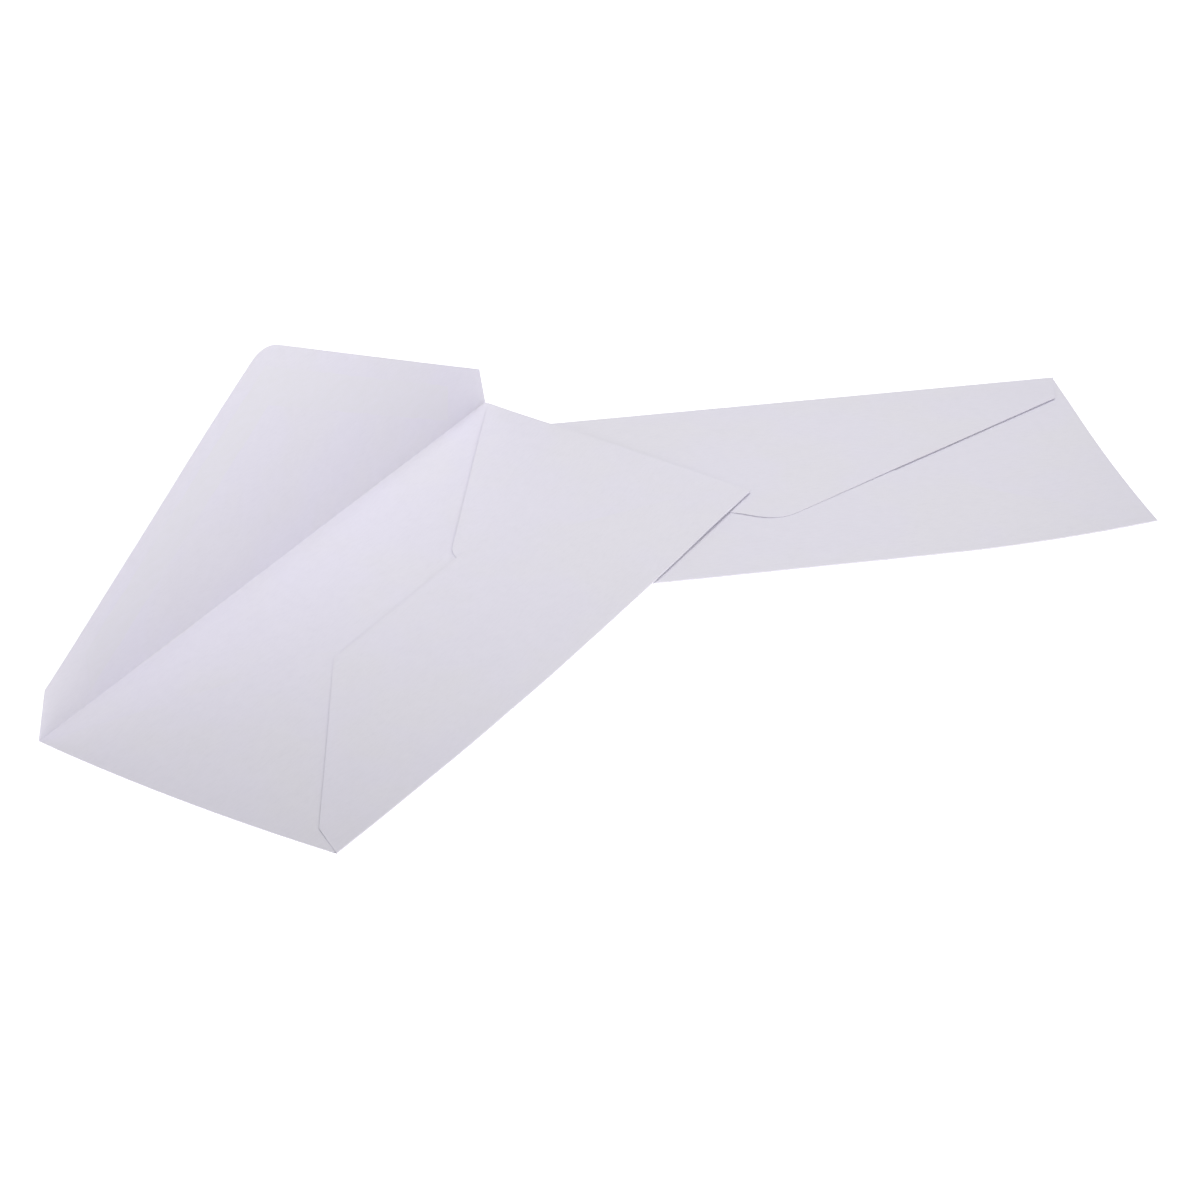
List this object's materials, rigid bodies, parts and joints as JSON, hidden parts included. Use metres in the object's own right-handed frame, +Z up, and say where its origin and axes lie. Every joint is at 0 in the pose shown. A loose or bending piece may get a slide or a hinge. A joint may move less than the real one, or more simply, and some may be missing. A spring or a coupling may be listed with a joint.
{
  "type": "paper envelope pair",
  "caption": "White paper envelope with its pointed seal flap standing open, lying across a closed envelope of the same kind.",
  "frame": {"origin": "on the table, under the middle of the pair", "axes": "+X along the longest extent, from the standing flap towards the closed envelope's free end, +Y towards the back, +Z up"},
  "size_m": [0.3454, 0.2916, 0.0795],
  "materials": {
    "envelope_paper": "uncoated white wove paper, matt",
    "seal_gum": "dried remoistenable gum, slightly glossy",
    "seam_glue": "dried seam adhesive"
  },
  "bodies": {
    "closed_pocket": {"closed_front_panel": "envelope_paper", "closed_left_side_flap": "envelope_paper", "closed_right_side_flap": "envelope_paper", "closed_back_panel": "envelope_paper", "closed_left_seam_glue": "seam_glue", "closed_right_seam_glue": "seam_glue"},
    "closed_flap": {"closed_seal_flap": "envelope_paper", "closed_gum_strip": "seal_gum"},
    "open_pocket": {"open_front_panel": "envelope_paper", "open_left_side_flap": "envelope_paper", "open_right_side_flap": "envelope_paper", "open_back_panel": "envelope_paper", "open_left_seam_glue": "seam_glue", "open_right_seam_glue": "seam_glue"},
    "open_flap": {"open_seal_flap": "envelope_paper", "open_gum_strip": "seal_gum"}
  },
  "joints": [
    {"name": "open_envelope_lift", "type": "slide", "parent": "closed_pocket", "child": "open_pocket", "axis": [0, 0, 1], "range_m": [0, 0.3]},
    {"name": "open_flap_crease", "type": "hinge", "parent": "open_pocket", "child": "open_flap", "pos_m": [-0.11177, 0.01124, 0.00583], "axis": [-0.5027, -0.8644, 0.0133], "range_deg": [-86.8, 87.2]},
    {"name": "closed_flap_crease", "type": "hinge", "parent": "closed_pocket", "child": "closed_flap", "pos_m": [0.03245, 0.12016, 0.00039], "axis": [-0.9769, -0.2135, 0], "range_deg": [0, 180]}
  ],
  "couplings": [
    {"joint": "closed_flap_crease", "follows": "open_envelope_lift", "rad_per_m": 10.47}
  ]
}
